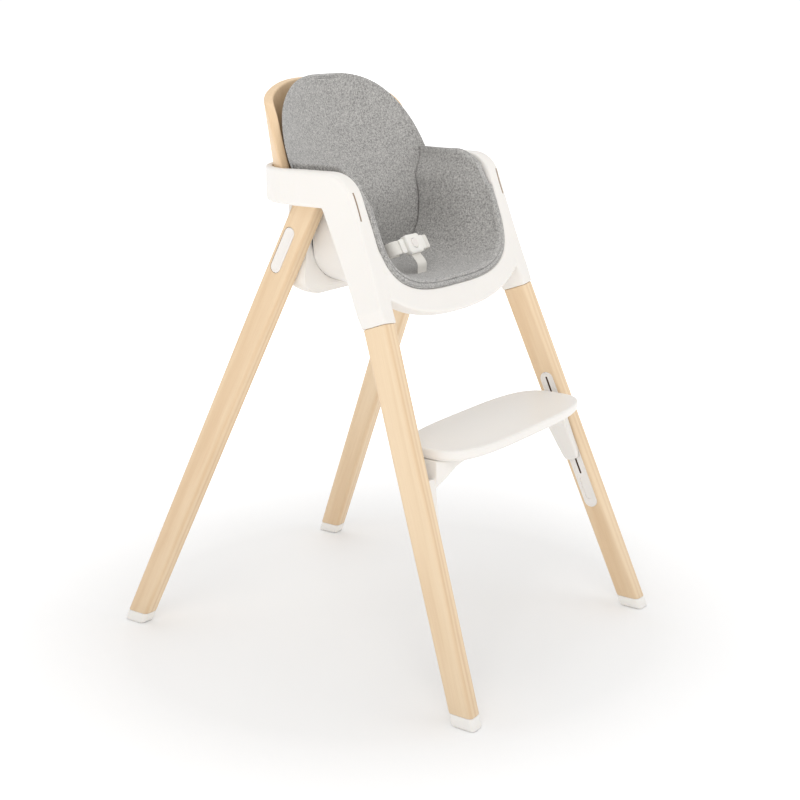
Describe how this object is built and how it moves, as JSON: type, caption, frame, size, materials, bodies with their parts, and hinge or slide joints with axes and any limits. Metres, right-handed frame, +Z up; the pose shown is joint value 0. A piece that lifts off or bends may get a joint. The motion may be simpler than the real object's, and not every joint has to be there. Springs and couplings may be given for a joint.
{
  "type": "baby high chair",
  "caption": "High chair with a moulded arm ring on splayed wooden legs, bent plywood back, padded liner, harness buckle and a footrest that slides on the front legs.",
  "frame": {"origin": "on the floor, at the middle of the footprint of the four feet", "axes": "+Z up, the seated child faces -Y, the child's left is +X"},
  "size_m": [0.5738, 0.7164, 0.917],
  "materials": {
    "white_moulding": "warm white moulded plastic, satin",
    "track_plastic": "white moulded insert, fine matte",
    "button_plastic": "white moulded button, satin",
    "foot_plastic": "white moulded foot cap, matte",
    "buckle_plastic": "white moulded buckle, satin",
    "beech": "pale beech, clear matte lacquer, grain along the leg",
    "plywood": "bent beech plywood, clear matte lacquer",
    "liner_fabric": "mid-grey heathered knit",
    "webbing": "off-white woven webbing",
    "steel": "zinc-plated steel",
    "spring_steel": "drawn spring wire"
  },
  "bodies": {
    "chair": {"seat_frame": "white_moulding", "rear_housing": "white_moulding", "seat_bucket": "white_moulding", "wood_back": "plywood", "buckle_body": "buckle_plastic", "crotch_strap": "webbing", "crotch_strap_anchor": "steel", "liner_back": "liner_fabric", "liner_seat": "liner_fabric", "back_screw_1": "steel", "back_screw_2": "steel", "back_screw_3": "steel", "back_screw_4": "steel", "front_leg_left": "beech", "rear_leg_left": "beech", "front_foot_cap_left": "foot_plastic", "rear_foot_cap_left": "foot_plastic", "rear_leg_tenon_left": "steel", "latch_spring_left": "spring_steel", "footrest_track_left": "track_plastic", "liner_wing_left": "liner_fabric", "buckle_tongue_left": "buckle_plastic", "waist_strap_left": "webbing", "front_leg_right": "beech", "rear_leg_right": "beech", "front_foot_cap_right": "foot_plastic", "rear_foot_cap_right": "foot_plastic", "rear_leg_tenon_right": "steel", "latch_spring_right": "spring_steel", "footrest_track_right": "track_plastic", "liner_wing_right": "liner_fabric", "buckle_tongue_right": "buckle_plastic", "waist_strap_right": "webbing"},
    "footrest": {"footrest_board": "white_moulding"},
    "buckle_button": {"buckle_button": "buckle_plastic"},
    "bracket_left": {"footrest_bracket_left": "white_moulding"},
    "lock_pin_left": {"footrest_lock_pin_left": "steel"},
    "release_left": {"release_button_left": "button_plastic", "release_stem_left": "button_plastic"},
    "latch_left": {"latch_plunger_left": "steel"},
    "bracket_right": {"footrest_bracket_right": "white_moulding"},
    "lock_pin_right": {"footrest_lock_pin_right": "steel"},
    "release_right": {"release_button_right": "button_plastic", "release_stem_right": "button_plastic"},
    "latch_right": {"latch_plunger_right": "steel"}
  },
  "joints": [
    {"name": "footrest_height", "type": "slide", "parent": "chair", "child": "footrest", "axis": [0, 0.3426, 0.9395], "range_m": [-0.06, 0.06]},
    {"name": "buckle_button_press", "type": "slide", "parent": "chair", "child": "buckle_button", "axis": [0, 0.8829, -0.4695], "range_m": [0, 0.002], "stiffness_N_per_m": 400},
    {"name": "bracket_left_reach", "type": "slide", "parent": "footrest", "child": "bracket_left", "axis": [-1, 0, 0], "range_m": [-0.0075, 0.0075]},
    {"name": "lock_pin_left_retract", "type": "slide", "parent": "bracket_left", "child": "lock_pin_left", "axis": [-0.9917, 0, -0.1289], "range_m": [0, 0.0045], "stiffness_N_per_m": 300},
    {"name": "release_left_press", "type": "slide", "parent": "chair", "child": "release_left", "axis": [-0.9914, 0, -0.1309], "range_m": [0, 0.006], "stiffness_N_per_m": 400},
    {"name": "latch_left_retract", "type": "slide", "parent": "chair", "child": "latch_left", "axis": [-0.9914, 0, -0.1309], "range_m": [0, 0.006]},
    {"name": "bracket_right_reach", "type": "slide", "parent": "footrest", "child": "bracket_right", "axis": [1, 0, 0], "range_m": [-0.0075, 0.0075]},
    {"name": "lock_pin_right_retract", "type": "slide", "parent": "bracket_right", "child": "lock_pin_right", "axis": [0.9917, 0, -0.1289], "range_m": [0, 0.0045], "stiffness_N_per_m": 300},
    {"name": "release_right_press", "type": "slide", "parent": "chair", "child": "release_right", "axis": [0.9914, 0, -0.1309], "range_m": [0, 0.006], "stiffness_N_per_m": 400},
    {"name": "latch_right_retract", "type": "slide", "parent": "chair", "child": "latch_right", "axis": [0.9914, 0, -0.1309], "range_m": [0, 0.006]}
  ],
  "couplings": [
    {"joint": "bracket_left_reach", "follows": "footrest_height", "ratio": 0.12213},
    {"joint": "latch_left_retract", "follows": "release_left_press", "ratio": 1},
    {"joint": "bracket_right_reach", "follows": "footrest_height", "ratio": 0.12213},
    {"joint": "latch_right_retract", "follows": "release_right_press", "ratio": 1}
  ]
}
